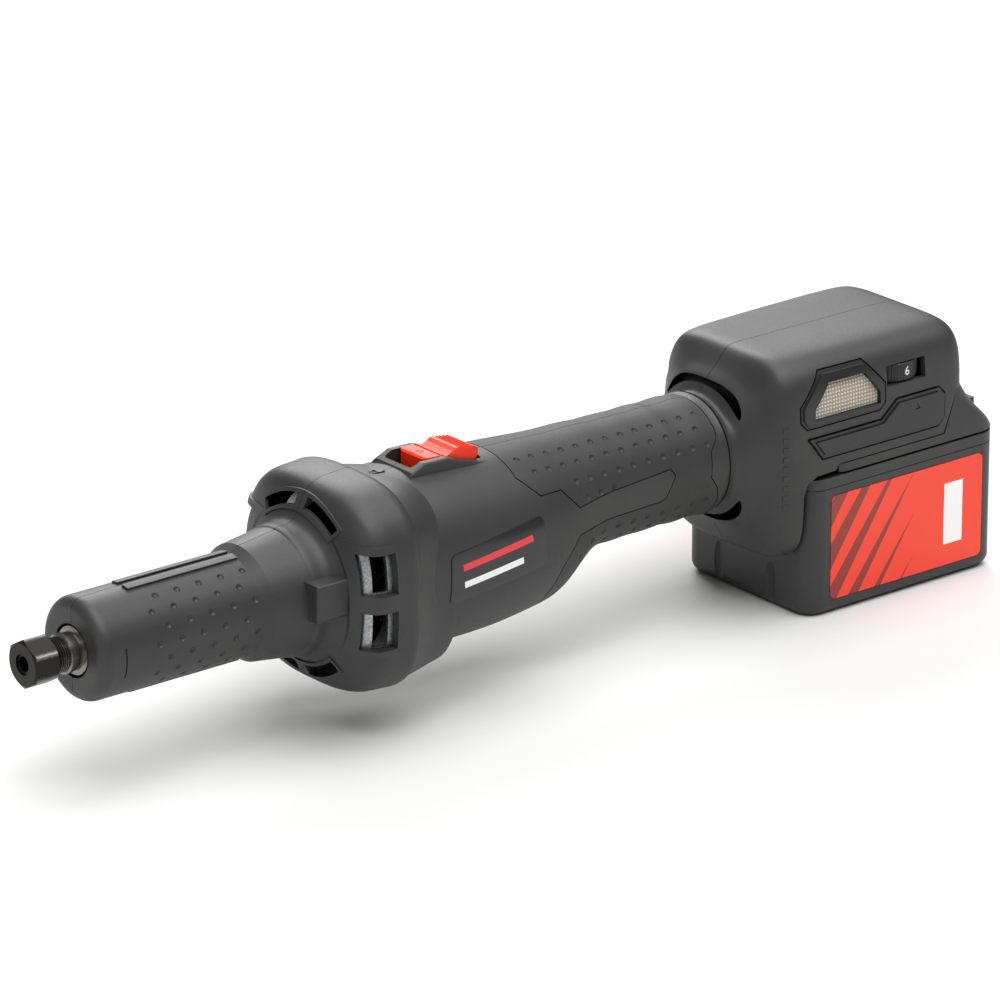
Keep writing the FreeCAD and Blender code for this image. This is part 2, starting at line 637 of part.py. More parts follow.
def switch_slider():
    x0, x1 = SLIDER_X
    base = 31.2
    side_view = [
        (x0, base), (x0, 39.8), (x0 + 0.8, 40.5), (189.6, 40.2), (189.9, 39.6), (190.8, 39.5), (191.1, 40.0),
        (191.9, 40.0), (192.2, 39.4), (193.2, 39.3), (196.0, 40.4), (197.6, 41.4), (198.6, 41.5),
    ]
    for k in range(4):
        x = 199.4 + 1.7 * k
        z = 41.4 - 0.28 * k
        side_view += [(x, z), (x + 0.25, z - 0.7), (x + 0.8, z - 0.75), (x + 1.05, z - 0.1)]
    side_view += [(206.6, 40.2), (x1, 39.0), (x1, 36.4), (x1 - 1.6, 34.6), (x1 - 1.6, base)]
    key = plate(side_view, -SLIDER_HALF_Y, SLIDER_HALF_Y)
    corner = [e for e in key.Edges if abs(e.tangentAt(e.FirstParameter).z) > 0.99 and e.CenterOfMass.x < x0 + 0.1]
    key = key.makeFillet(2.2, corner)
    mark = box(185.2, 187.4, -1.3, 1.3, 40.0, 41.0).cut(box(185.6, 187.0, -0.9, 0.9, 39.0, 42.0))
    return key.cut(mark)


def switch_rod():
    """Flat push rod from the slider back to the micro switch."""
    bar = box(186.0, 246.0, -3.0, 3.0, 28.4, 30.0)
    stem = box(187.0, 203.0, -3.0, 3.0, 30.0, 31.2)
    toe = box(243.0, 246.0, -3.0, 3.0, 24.6, 28.4)
    return joined([bar, stem, toe])


def micro_switch():
    body = box(252.0, 272.0, -3.2, 3.2, 15.6, 26.2)
    plunger = box(246.6 + 1.0, 252.0, -1.6, 1.6, 24.0, 25.6)
    legs = [box(254.0 + 4.0 * k, 255.0 + 4.0 * k, -1.2, 1.2, 11.6, 15.6) for k in range(3)]
    return joined([body, plunger] + legs)


# ---------------------------------------------------------------- head
def tower_clearance():
    """Space in the head for the rail's channel."""
    half = RAIL_CHANNEL_HALF + 3.0
    return box(360.0, 460.0, -half, half, -40.0, RAIL_CEILING + 2.5)


def head():
    outer = hull(HEAD)
    bay = plate(BAY_OUTLINE, -60, 60)
    cavity = hull([s for s in HEAD if s[0] >= 329.0][:-1], -WALL)
    floor = [(x - WALL, z + WALL) for x, z in BAY_OUTLINE]
    floor = [(x, -80.0) if z < -50 else (x, z) for x, z in floor]
    cavity = cavity.cut(plate(floor, -60, 60))
    spigot = ring(GRIP_R - WALL - 0.3, 18.6, 314.0, 331.0, 0, GRIP_Z)
    shell = outer.cut(cavity).cut(rod(20.8, 320, 332, 0, GRIP_Z)).cut(bay)
    shell = joined([shell, spigot] + screw_posts(HEAD_SCREWS, hull(HEAD, -WALL + 0.5)))
    tools = [tower_clearance()] + screw_bores(HEAD_SCREWS, HEAD_SCREW_SEAT)
    window = box(DIAL_X - 10.3, DIAL_X + 10.2, -60, -20, DIAL_Z - 4.3, DIAL_Z + 4.2)
    tools.append(window)
    for side in (1, -1):
        y0, y1 = sorted((side * 25.0, side * 60.0))
        tools.append(plate(FILTER_OUTLINE, y0, y1))
    bar_recess = skin(HEAD, -1.2, 5.0).common(inset_plate(TRIM_OUTLINE, -0.7, -60, 60))
    tools.append(bar_recess)
    return split(shell.cut(tools))


def filter_frame():
    """Clip-in frame of the left air filter, with a bevelled face."""
    band = skin(HEAD, -3.0, 0.0).common(inset_plate(FILTER_OUTLINE, 0.6, -60, -20))
    face = skin(HEAD, -0.5, 0.7).common(inset_plate(FILTER_OUTLINE, 1.7, -60, -20))
    return joined([band, face]).cut(plate(CLOTH_OUTLINE, -60, -20))


def filter_cloth():
    return skin(HEAD, -2.6, -1.2).common(inset_plate(CLOTH_OUTLINE, 0.15, -60, -20))


def trim_bar():
    base = skin(HEAD, -1.1, 0.5).common(inset_plate(TRIM_OUTLINE, 0.1, -60, -20))
    top = skin(HEAD, 0.3, 1.3).common(inset_plate(TRIM_OUTLINE, 1.5, -60, -20))
    mark = plate([(406.4, 18.2), (409.4, 18.2), (407.9, 20.6)], -60, -36)
    mark = mark.common(skin(HEAD, 0.9, 2.0))
    return joined([base, top]).cut(mark)


def speed_dial():
    centre = V(DIAL_X, -(DIAL_REACH - DIAL_R), DIAL_Z - DIAL_HEIGHT / 2)
    wheel = Part.makeCylinder(DIAL_R, DIAL_HEIGHT, centre)
    rims = [e for e in wheel.Edges if abs(e.Length - 2 * math.pi * DIAL_R) < 0.1]
    wheel = wheel.makeChamfer(0.4, rims)
    notches = []
    for k in range(30):
        a = math.radians(12 + 6 * k)
        notch = Part.makeCylinder(0.45, DIAL_HEIGHT, centre + V(math.cos(a), math.sin(a), 0) * (DIAL_R + 0.1))
        notch.rotate(centre, V(0, 0, 1), 168)
        notches.append(notch)
    bore = Part.makeCylinder(2.0 + RUNNING, DIAL_HEIGHT + 2, centre - V(0, 0, 1))
    return wheel.cut(notches + [bore])


def dial_board():
    y = -(DIAL_REACH - DIAL_R)
    board = box(DIAL_X - 9, DIAL_X + 9, y - 8, y + 12, DIAL_Z - 9.2, DIAL_Z - 7.6)
    pot = Part.makeCylinder(5.5, 3.0, V(DIAL_X, y, DIAL_Z - 7.6))
    stem = Part.makeCylinder(2.0, DIAL_HEIGHT + 1.6, V(DIAL_X, y, DIAL_Z - 4.7))
    return joined([board, pot, stem])


def battery_rail():
    """Foot of the head: two rails for the pack's tower and a flared rear edge."""
    wires = []
    for z, rear, half in ((-0.5, 455.4, 38.0), (4.0, 452.6, 38.0), (9.0, 447.6, 37.8), (14.0, 443.2, 37.4),
                          (21.5, 438.6, 36.6)):
        block = rounded_box(362.0, rear, half, z, z + 1, 11.0)
        low = min(block.Faces, key=lambda f: f.CenterOfMass.z)
        wires.append(low.OuterWire)
    flare = Part.makeLoft(wires, True, False)
    foot = flare.common(plate(FOOT_OUTLINE, -60, 60))
    half = RAIL_CHANNEL_HALF + 2.6
    channel_body = box(360.4, 436.0, -half, half, RAIL_LIP_Z - 3.4, RAIL_CEILING + 2.0)
    rail = foot.fuse(channel_body)
    slot = box(363.0, 470.0, -RAIL_SLOT_HALF, RAIL_SLOT_HALF, -5.0, RAIL_LIP_Z + 0.2)
    channel = box(363.0, 470.0, -RAIL_CHANNEL_HALF, RAIL_CHANNEL_HALF, RAIL_LIP_Z, RAIL_CEILING)
    return rail.cut([slot, channel]).removeSplitter()


BLADE_Y = (-15.0, -5.0, 5.0, 15.0)


def terminal_block():
    block = box(363.2, 366.6, -20.0, 20.0, 0.4, RAIL_CEILING - 0.2)
    return block.cut([box(362.0, 368.0, y - 0.4, y + 0.4, 1.0, 9.0) for y in BLADE_Y])


def terminal_blades():
    return [box(363.6, 375.0, y - 0.4, y + 0.4, 1.6, 8.4) for y in BLADE_Y]


# ---------------------------------------------------------------- battery pack
def pack_block(grow, z0, z1):
    x0, x1 = PACK_X
    block = box(x0 - grow, x1 + grow, -PACK_HALF_Y - grow, PACK_HALF_Y + grow, PACK_Z[0] - grow, 5.0)
    upright = [e for e in block.Edges if abs(e.tangentAt(e.FirstParameter).z) > 0.9]
    block = block.makeFillet(9.0 + grow, upright)
    below = [e for e in block.Edges if abs(e.CenterOfMass.z - PACK_Z[0] + grow) < 0.01]
    block = block.makeFillet(5.0 + grow, below)
    return block.common(box(x0 - 50, x1 + 50, -90, 90, z0, z1))


LATCH_X = (449.2, 455.0)
LATCH_HALF_Y = 13.0
LATCH_Z = (-16.0, -2.6)
LATCH_TRAVEL = 3.5
LATCH_GAP = 0.5
LATCH_WALL = 2.0         # wall of the case in front of the latch
SPRING_R = 1.5           # to the middle of the spring's wire
SPRING_WIRE = 0.3
SPRING_BORE = (2.1, 5.0) # radius and depth of the blind bore in the latch
PACK_LABEL_X = (363.7, 445.2)
PACK_LABEL_Z = (-53.0, -8.8)


def pack_label_plate(inset, y0, y1):
    x0, x1 = PACK_LABEL_X
    z0, z1 = PACK_LABEL_Z
    block = box(x0 + inset, x1 - inset, y0, y1, z0 + inset, z1 - inset)
    across = [e for e in block.Edges if abs(e.tangentAt(e.FirstParameter).y) > 0.9]
    return block.makeFillet(3.0 - inset, across)


def latch_pocket():
    gap = LATCH_GAP
    pocket = box(LATCH_X[0] - gap, 470.0, -LATCH_HALF_Y - gap, LATCH_HALF_Y + gap,
                 LATCH_Z[0] - LATCH_TRAVEL - gap, LATCH_Z[1] + gap)
    return pocket


def battery_case():
    shell = pack_block(0, PACK_Z[0], PACK_SPLIT_Z - 0.15).cut(pack_block(-PACK_WALL, PACK_Z[0], 10))
    backing = box(LATCH_X[0] - LATCH_GAP - LATCH_WALL, PACK_X[1] - 1.0, -LATCH_HALF_Y - 3.2, LATCH_HALF_Y + 3.2,
                  LATCH_Z[0] - LATCH_TRAVEL - 3.4, PACK_SPLIT_Z - 0.15)
    shell = shell.fuse(backing)
    tools = [latch_pocket()]
    for y in (-15.5, 15.5):
        groove = Part.makeSphere(1.0)
        matrix = FreeCAD.Matrix()
        matrix.scale(V(1.6, 3.0, 9.0))
        groove = groove.transformGeometry(matrix)
        groove.translate(V(PACK_X[0] - 0.3, y, -49.0))
        tools.append(groove)
    for side in (1, -1):
        tools.append(pack_label_plate(-0.1, *sorted((side * (PACK_HALF_Y - 0.5), side * 60.0))))
    return shell.cut(tools)


def battery_cover():
    """Top of the pack with the tower that slides in the rail."""
    deck = pack_block(0, PACK_SPLIT_Z + 0.15, PACK_Z[1]).cut(pack_block(-PACK_WALL, PACK_Z[0], PACK_Z[1] - PACK_WALL))
    neck = box(367.4, 452.0, -RAIL_SLOT_HALF + RAIL_GAP, RAIL_SLOT_HALF - RAIL_GAP, PACK_Z[1] - 0.5, RAIL_LIP_Z + 0.8)
    flange = box(367.4, 452.0, -RAIL_CHANNEL_HALF + RAIL_GAP, RAIL_CHANNEL_HALF - RAIL_GAP,
                 RAIL_LIP_Z + 0.6, RAIL_CEILING - RAIL_GAP)
    tower = neck.fuse(flange).removeSplitter()
    tools = [box(366.0, 381.0, y - 1.8, y + 1.8, -0.6, 9.2) for y in BLADE_Y]
    tools.append(box(380.0, 440.0, -18.0, 18.0, -10.0, RAIL_CEILING - RAIL_GAP - 2.0))
    tools.append(latch_pocket())
    return deck.fuse(tower).cut(tools).removeSplitter()


def battery_contacts():
    """Spring contacts of the pack, one pair of leaves on the sides of each blade."""
    leaves = []
    for y in BLADE_Y:
        for side in (y - 1.2, y + 1.2):
            finger = box(370.5, 392.0, side - 0.3, side + 0.3, 2.0, 6.8)
            foot = box(386.0, 392.0, side - 0.3, side + 0.3, -6.0, 2.5)
            leaves.append(joined([finger, foot]))
    return leaves


CELL_ROWS = (-47.3, -28.7)
CELL_FIRST_X = 364.8
CELL_PITCH = 18.6


def cell_places():
    return [(CELL_FIRST_X + CELL_PITCH * i, z) for z in CELL_ROWS for i in range(5)]


def battery_cells():
    cells = []
    for x, z in cell_places():
        can = Part.makeCylinder(CELL_R, CELL_LENGTH, V(x, -CELL_LENGTH / 2, z), V(0, 1, 0))
        nub = Part.makeCylinder(2.8, 1.2, V(x, CELL_LENGTH / 2, z), V(0, 1, 0))
        cells.append(can.fuse(nub))
    return cells


def cell_holders():
    holders = []
    for y in (-26.0, 22.0):
        block = box(355.2, 450.6, y, y + 4.0, -55.9, -17.6)
        holes = [Part.makeCylinder(CELL_R + 0.1, 10.0, V(x, y - 3, z), V(0, 1, 0)) for x, z in cell_places()]
        block = block.cut(holes)
        holders.append(max(block.Solids, key=lambda s: s.Volume))
    return holders


def latch_button():
    x0, x1 = LATCH_X
    key = box(x0, x1, -LATCH_HALF_Y, LATCH_HALF_Y, *LATCH_Z)
    rear = [e for e in key.Edges if abs(e.CenterOfMass.x - x1) < 0.01]
    key = key.makeFillet(1.5, rear)
    grips = [box(x1 - 0.6, x1 + 1, -9.0, 9.0, z, z + 0.8) for z in (-13.4, -11.2, -9.0, -6.8)]
    radius, depth = SPRING_BORE
    bore = Part.makeCylinder(radius, depth + 1.0, V((x0 + x1) / 2, 0, LATCH_Z[0] - 1.0))
    return key.cut(grips + [bore])


def latch_spring():
    """Stands on the floor of the latch's pocket and reaches up into the bore of the latch."""
    low = LATCH_Z[0] - LATCH_TRAVEL - LATCH_GAP + 0.1 + SPRING_WIRE
    high = LATCH_Z[0] + SPRING_BORE[1] - 0.1 - SPRING_WIRE
    helix = Part.makeHelix((high - low) / 5, high - low, SPRING_R)
    wire = Part.Wire(helix.Edges)
    profile = Part.Wire([Part.makeCircle(SPRING_WIRE, V(SPRING_R, 0, 0), V(0, 1, 0))])
    coil = wire.makePipeShell([profile], True, True)
    coil.translate(V((LATCH_X[0] + LATCH_X[1]) / 2, 0, low))
    return coil


# ---------------------------------------------------------------- electronics and wires
TRAY_X = (362.0, 423.4)
TRAY_HALF_Y = 20.0
TRAY_Z = (13.4, 24.6)


def controller_tray():
    outside = rounded_box(*TRAY_X, TRAY_HALF_Y, *TRAY_Z, 3.0)
    return outside.cut(rounded_box(TRAY_X[0] + 2, TRAY_X[1] - 2, TRAY_HALF_Y - 2, TRAY_Z[0] + 4.0, 60.0, 2.0))


def controller_board():
    return rounded_box(TRAY_X[0] + 2.4, TRAY_X[1] - 2.4, TRAY_HALF_Y - 2.4, TRAY_Z[0] + 5.6, TRAY_Z[0] + 7.2, 1.5)


def board_parts():
    top = TRAY_Z[0] + 7.2
    parts = [Part.makeCylinder(5.0, 12.0, V(x, 8.0, top)) for x in (372.0, 385.0)]
    for k in range(6):
        x = 368.0 + 8.0 * k
        parts.append(box(x, x + 6.0, -14.0, -4.0, top, top + 2.2))
    parts.append(box(398.0, 412.0, 2.0, 14.0, top, top + 1.4))
    return parts


def lead(points, radius, bend):
    """Insulated wire along straight runs joined by tangent arcs."""
    pts = [V(*p) for p in points]
    edges = []
    start = pts[0]
    for before, corner, after in zip(pts, pts[1:], pts[2:]):
        d0 = (before - corner).normalize()
        d1 = (after - corner).normalize()
        half = d0.getAngle(d1) / 2
        back = bend / math.tan(half)
        a, b = corner + d0 * back, corner + d1 * back
        middle = corner + (d0 + d1).normalize() * (bend / math.sin(half) - bend)
        edges += [Part.makeLine(start, a), Part.Arc(a, middle, b).toShape()]
        start = b
    edges.append(Part.makeLine(start, pts[-1]))
    path = Part.Wire(edges)
    circle = Part.Wire([Part.makeCircle(radius, pts[0], pts[1] - pts[0])])
    return path.makePipeShell([circle], True, False)


def motor_leads():
    route = ((217.5, -20.0), (240.0, -13.0), (264.0, -1.0), (322.0, -1.0), (356.0, 15.5))
    return [lead([(x, y, z) for x, z in route], 1.4, 15.0) for y in (-5.0, 0.0, 5.0)]


def battery_leads():
    return [lead([(358.4, y, 7.5), (358.4, y, 16.0), (353.0, y, 24.0)], 1.5, 4.0) for y in (-15.0, 15.0)]


def nameplate():
    """Label on the motor housing's left side, which climbs a little towards the grip."""
    x0, x1, z0, z1, climb = 173.0, 221.5, -9.4, 10.6, 4.6
    outline = [(x0, z0), (x1 + 1.0, z0 + climb), (x1, z1 + climb), (x0 + 0.6, z1)]
    wire = Part.makePolygon([V(x, -60, z) for x, z in outline + outline[:1]])
    prism = Part.Face(wire).extrude(V(0, 45, 0))
    across = [e for e in prism.Edges if abs(e.tangentAt(e.FirstParameter).y) > 0.9]
    prism = prism.makeFillet(2.6, across)
    return skin(BODY, 0.02, LABEL_PROUD).common(prism)


# ---------------------------------------------------------------- build
def save(name, shapes):
    solids = shapes if isinstance(shapes, list) else [shapes]
    flat = [s for shape in solids for s in shape.Solids]
    shape = flat[0] if len(flat) == 1 else Part.makeCompound(flat)
    shape.exportStep(f"parts/{name}.step")
    print(f"{name:24s} solids {len(flat):3d}  volume {sum(s.Volume for s in flat):10.1f}  valid {shape.isValid()}")


def save_pair(name, pair):
    save(f"{name}_left", pair[0])
    save(f"{name}_right", pair[1])


def main():
    os.makedirs("parts", exist_ok=True)

    save("collet", collet())
    save("collet_nut", collet_nut())
    save("spindle", spindle())
    inner, balls, outer = bearings()
    save("bearing_inner_races", inner)
    save("bearing_balls", balls)
    save("bearing_outer_races", outer)
    save("coupling_sleeve", ring(10.0, SPINDLE_R, 109.0, SPINDLE_END).fuse(
        ring(10.0, MOTOR_SHAFT_R, SPINDLE_END, 128.0)).removeSplitter())
    save("motor_shaft", rod(MOTOR_SHAFT_R, SPINDLE_END + 0.2, MOTOR_SHAFT_END))
    save("cooling_fan", cooling_fan())
    save("rotor_core", ring(ROTOR_R, MOTOR_SHAFT_R, STATOR_X[0] + 1, STATOR_X[1] - 1))
    save("rotor_magnets", rotor_magnets())

    save("neck_tube", neck_tube())
    save("neck_seal", ring(NECK_R - NECK_WALL - 0.2, 9.9, 26.1, 28.3))
    save("fan_shroud", fan_shroud())
    save("motor_bracket", motor_bracket())
    save("stator_core", stator_core())
    save("stator_windings", stator_windings())
    save("stator_insulators", stator_insulators())
    save("sensor_board", ring(25.0, 12.0, 199.0, 200.2).cut(box(190, 210, -6, 6, -30, -20)))

    save_pair("front_cover", front_cover())
    save_pair("main_housing", main_housing())
    save_pair("grip_sleeve", grip_sleeve())
    save_pair("head", head())
    save("battery_rail", battery_rail())
    save("terminal_block", terminal_block())
    save("terminal_blades", terminal_blades())

    save("switch_slider", switch_slider())
    save("switch_rod", switch_rod())
    save("micro_switch", micro_switch())
    save("speed_dial", speed_dial())
    save("dial_board", dial_board())
    save_pair("filter_frame", (filter_frame(), mirrored(filter_frame())))
    save_pair("filter_cloth", (filter_cloth(), mirrored(filter_cloth())))
    save_pair("trim_bar", (trim_bar(), mirrored(trim_bar())))
    save_pair("nameplate", (nameplate(), mirrored(nameplate())))
    save("controller_tray", controller_tray())
    save("controller_board", controller_board())
    save("board_parts", board_parts())
    save("motor_leads", motor_leads())
    save("battery_leads", battery_leads())
    save("housing_screws", [screw(x, z, SCREW_SEAT) for x, z in SCREWS]
         + [screw(x, z, HEAD_SCREW_SEAT) for x, z in HEAD_SCREWS])

    save("battery_case", battery_case())
    save("battery_cover", battery_cover())
    save("battery_contacts", battery_contacts())
    save("battery_cells", battery_cells())
    save("cell_holders", cell_holders())
    save("battery_board", rounded_box(358.0, 438.0, 30.0, -14.6, -13.0, 3.0))
    left_label = pack_label_plate(0.15, -PACK_HALF_Y - 0.1, -PACK_HALF_Y + 0.4)
    save_pair("battery_label", (left_label, mirrored(left_label)))
    save("latch_button", latch_button())
    save("latch_spring", latch_spring())


main()
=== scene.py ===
# %% [markdown]
# # A long-necked cordless die grinder
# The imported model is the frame: it has every piece of the tool at its real size, in metres, with the
# collet's mouth at the origin and +X running back along the tool. This file gives each piece the finish
# of its real material, and adds the small moulded and printed details. It ends with the camera and light.

# %% The frame and its box
import bmesh
import bpy
import json
import math
from mathutils import Matrix, Vector


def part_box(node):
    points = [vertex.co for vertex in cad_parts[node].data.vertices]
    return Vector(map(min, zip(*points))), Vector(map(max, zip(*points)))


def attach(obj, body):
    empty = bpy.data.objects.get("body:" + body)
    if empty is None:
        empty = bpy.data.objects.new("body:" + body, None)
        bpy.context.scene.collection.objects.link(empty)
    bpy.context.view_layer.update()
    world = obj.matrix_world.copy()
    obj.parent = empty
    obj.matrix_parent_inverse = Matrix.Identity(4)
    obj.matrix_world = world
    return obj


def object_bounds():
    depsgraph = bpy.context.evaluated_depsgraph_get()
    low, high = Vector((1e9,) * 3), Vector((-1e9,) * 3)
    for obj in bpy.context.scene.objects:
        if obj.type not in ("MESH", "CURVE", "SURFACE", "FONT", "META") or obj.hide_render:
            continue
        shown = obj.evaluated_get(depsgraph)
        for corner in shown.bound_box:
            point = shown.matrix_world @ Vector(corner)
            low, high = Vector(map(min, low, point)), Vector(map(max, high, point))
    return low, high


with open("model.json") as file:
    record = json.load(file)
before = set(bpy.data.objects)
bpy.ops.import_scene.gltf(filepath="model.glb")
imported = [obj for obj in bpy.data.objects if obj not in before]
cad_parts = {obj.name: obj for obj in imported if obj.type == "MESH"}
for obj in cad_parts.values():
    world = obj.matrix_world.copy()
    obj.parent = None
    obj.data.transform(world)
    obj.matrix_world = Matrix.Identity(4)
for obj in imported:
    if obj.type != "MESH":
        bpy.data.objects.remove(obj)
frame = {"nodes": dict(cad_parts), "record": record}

box_at_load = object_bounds()
nodes = frame["nodes"]

# %% [markdown]
# Sizes are easier to think about in millimetres and colours as the hex numbers that a paint program shows.
# Blender wants metres and linear light, so two one-line helpers convert them once and for all.

# %% Units and colours
MM = 0.001


def linear(hex_colour):
    """An sRGB hex colour as linear red, green, blue and alpha."""
    parts = [int(hex_colour[i:i + 2], 16) / 255 for i in (1, 3, 5)]
    return [c / 12.92 if c <= 0.04045 else ((c + 0.055) / 1.055) ** 2.4 for c in parts] + [1.0]


# %% [markdown]
# A procedural material is a small graph of nodes. One helper adds a node, sets its options, and fills each
# input with either a number or another node's output. Each material starts from the principled shader.

# %% Helpers for materials
def add_node(material, kind, settings=None, inputs=None):
    """A new node. An input that is a socket is linked, and any other is set as a value."""
    tree = material.node_tree
    node = tree.nodes.new(kind)
    for name, value in (settings or {}).items():
        setattr(node, name, value)
    for name, value in (inputs or {}).items():
        if isinstance(value, bpy.types.NodeSocket):
            tree.links.new(value, node.inputs[name])
        else:
            node.inputs[name].default_value = value
    return node


def new_material(name, colour, roughness, metallic=0.0, ior=1.5, coat=0.0):
    """A material with its principled shader, and where on the object each point lies."""
    material = bpy.data.materials.new(name)
    material.use_nodes = True
    shader = material.node_tree.nodes["Principled BSDF"]
    shader.inputs["Base Color"].default_value = linear(colour)
    shader.inputs["Roughness"].default_value = roughness
    shader.inputs["Metallic"].default_value = metallic
    shader.inputs["IOR"].default_value = ior
    shader.inputs["Coat Weight"].default_value = coat
    material.diffuse_color = linear(colour)
    place = add_node(material, "ShaderNodeTexCoord").outputs["Object"]
    return material, shader, place


def feed(material, shader, **sockets):
    """Links outputs into the shader: the keyword is the socket's name with _ for a space."""
    for name, output in sockets.items():
        material.node_tree.links.new(output, shader.inputs[name.replace("_", " ")])


def blend_colours(material, factor, first, second):
    """A mix of two colours or colour outputs by factor."""
    mix = add_node(material, "ShaderNodeMix", {"data_type": "RGBA"})
    tree = material.node_tree
    tree.links.new(factor, mix.inputs[0])
    for socket, value in ((mix.inputs[6], first), (mix.inputs[7], second)):
        if isinstance(value, bpy.types.NodeSocket):
            tree.links.new(value, socket)
        else:
            socket.default_value = linear(value)
    return mix.outputs[2]


# %% [markdown]
# ## Moulded plastics
# The housing is glass-filled nylon. Its mould is spark-eroded, which leaves a fine even grain that scatters
# the light, so edges look soft and there are no sharp reflections. The grain is about 0.2 mm on the real
# part. That is finer than the picture can show, so it is drawn at 0.55 mm.

# %% Grained plastics
def grained_plastic(name, colour, shade, roughness, grain_mm, depth_mm, ior=1.52):
    material, shader, place = new_material(name, colour, roughness, ior=ior)
    grain = add_node(material, "ShaderNodeTexNoise", None,
                     {"Vector": place, "Scale": 1 / (grain_mm * MM), "Detail": 2.0, "Roughness": 0.6})
    drift = add_node(material, "ShaderNodeTexNoise", None,
                     {"Vector": place, "Scale": 1 / (35 * MM), "Detail": 3.0, "Roughness": 0.55})
    spread = add_node(material, "ShaderNodeMapRange", None,
                      {"Value": drift.outputs["Fac"], "From Min": 0.35, "From Max": 0.65})
    speck = add_node(material, "ShaderNodeMapRange", None,
                     {"Value": grain.outputs["Fac"], "From Min": 0.3, "From Max": 0.7,
                      "To Min": roughness - 0.07, "To Max": roughness + 0.07})
    bump = add_node(material, "ShaderNodeBump", None,
                    {"Height": grain.outputs["Fac"], "Strength": 0.5, "Distance": depth_mm * MM})
    feed(material, shader, Base_Color=blend_colours(material, spread.outputs["Result"], colour, shade),
         Roughness=speck.outputs["Result"], Normal=bump.outputs["Normal"])
    return material


nylon = grained_plastic("spark-grained glass-filled nylon", "#2b2c2b", "#262726", 0.5, 0.55, 0.06)
pack_nylon = grained_plastic("spark-grained ABS", "#2c2c2c", "#272727", 0.46, 0.6, 0.06)
trim_nylon = grained_plastic("fine-grained black nylon", "#1a1a1a", "#161617", 0.4, 0.5, 0.04)
soft_rubber = grained_plastic("thermoplastic rubber", "#282928", "#232423", 0.58, 0.5, 0.07)
orange_pom = grained_plastic("orange acetal", "#f43206", "#ea2c04", 0.42, 0.7, 0.02, ior=1.42)
print("plastics made")

# %% [markdown]
# ## Metals
# The nut and spindle are steel with a black phosphate coat. The coat is worn bright where a wrench or a hand
# touches it, which is farthest from the axis, so the wear follows the distance from the axis.

# %% Phosphated steel
def phosphated_steel(name, worn_from_mm, worn_to_mm):
    material, shader, place = new_material(name, "#2c2b2a", 0.36, metallic=0.9)
    split_xyz = add_node(material, "ShaderNodeSeparateXYZ", None, {"Vector": place})
    across = add_node(material, "ShaderNodeCombineXYZ", None,
                      {"Y": split_xyz.outputs["Y"], "Z": split_xyz.outputs["Z"]})
    radius = add_node(material, "ShaderNodeVectorMath", {"operation": "LENGTH"},
                      {0: across.outputs["Vector"]})
    patchy = add_node(material, "ShaderNodeTexNoise", None,
                      {"Vector": place, "Scale": 1 / (1.2 * MM), "Detail": 3.0, "Roughness": 0.6})
    jitter = add_node(material, "ShaderNodeMath", {"operation": "MULTIPLY_ADD"},
                      {0: patchy.outputs["Fac"], 1: 0.5 * MM, 2: radius.outputs["Value"]})
    wear = add_node(material, "ShaderNodeMapRange", {"interpolation_type": "SMOOTHSTEP"},
                    {"Value": jitter.outputs["Value"], "From Min": worn_from_mm * MM,
                     "From Max": worn_to_mm * MM})
    polish = add_node(material, "ShaderNodeMapRange", None,
                      {"Value": wear.outputs["Result"], "To Min": 0.4, "To Max": 0.24})
    bump = add_node(material, "ShaderNodeBump", None,
                    {"Height": patchy.outputs["Fac"], "Strength": 0.25, "Distance": 0.03 * MM})
    feed(material, shader, Base_Color=blend_colours(material, wear.outputs["Result"], "#2a2827", "#7f7a74"),
         Roughness=polish.outputs["Result"], Normal=bump.outputs["Normal"])
    return material


nut_steel = phosphated_steel("phosphated steel, nut", 9.3, 10.1)
spindle_steel = phosphated_steel("phosphated steel, spindle", 6.9, 7.4)


# %% [markdown]
# Cast alloy, ground bearing steel, laminations and copper show through the air windows or when the tool is
# apart. Each has the grain of its making: cast skin, fine turning marks, stacked sheets and wound wire.

# %% Other metals
def grained_metal(name, colour, dark, roughness, stretch, grain_mm):
    """A metal with streaks or specks: stretch says how much longer the grain is along X, Y and Z."""
    material, shader, place = new_material(name, colour, roughness, metallic=1.0)
    scaled = add_node(material, "ShaderNodeMapping", None,
                      {"Vector": place, "Scale": [1 / (grain_mm * MM * s) for s in stretch]})
    grain = add_node(material, "ShaderNodeTexNoise", None,
                     {"Vector": scaled.outputs["Vector"], "Scale": 1.0, "Detail": 3.0, "Roughness": 0.6})
    tone = add_node(material, "ShaderNodeMapRange", None,
                    {"Value": grain.outputs["Fac"], "From Min": 0.35, "From Max": 0.65})
    rough = add_node(material, "ShaderNodeMapRange", None,
                     {"Value": grain.outputs["Fac"], "To Min": roughness - 0.1, "To Max": roughness + 0.12})
    bump = add_node(material, "ShaderNodeBump", None,
                    {"Height": grain.outputs["Fac"], "Strength": 0.3, "Distance": 0.06 * MM})
    feed(material, shader, Base_Color=blend_colours(material, tone.outputs["Result"], dark, colour),
         Roughness=rough.outputs["Result"], Normal=bump.outputs["Normal"])
    return material


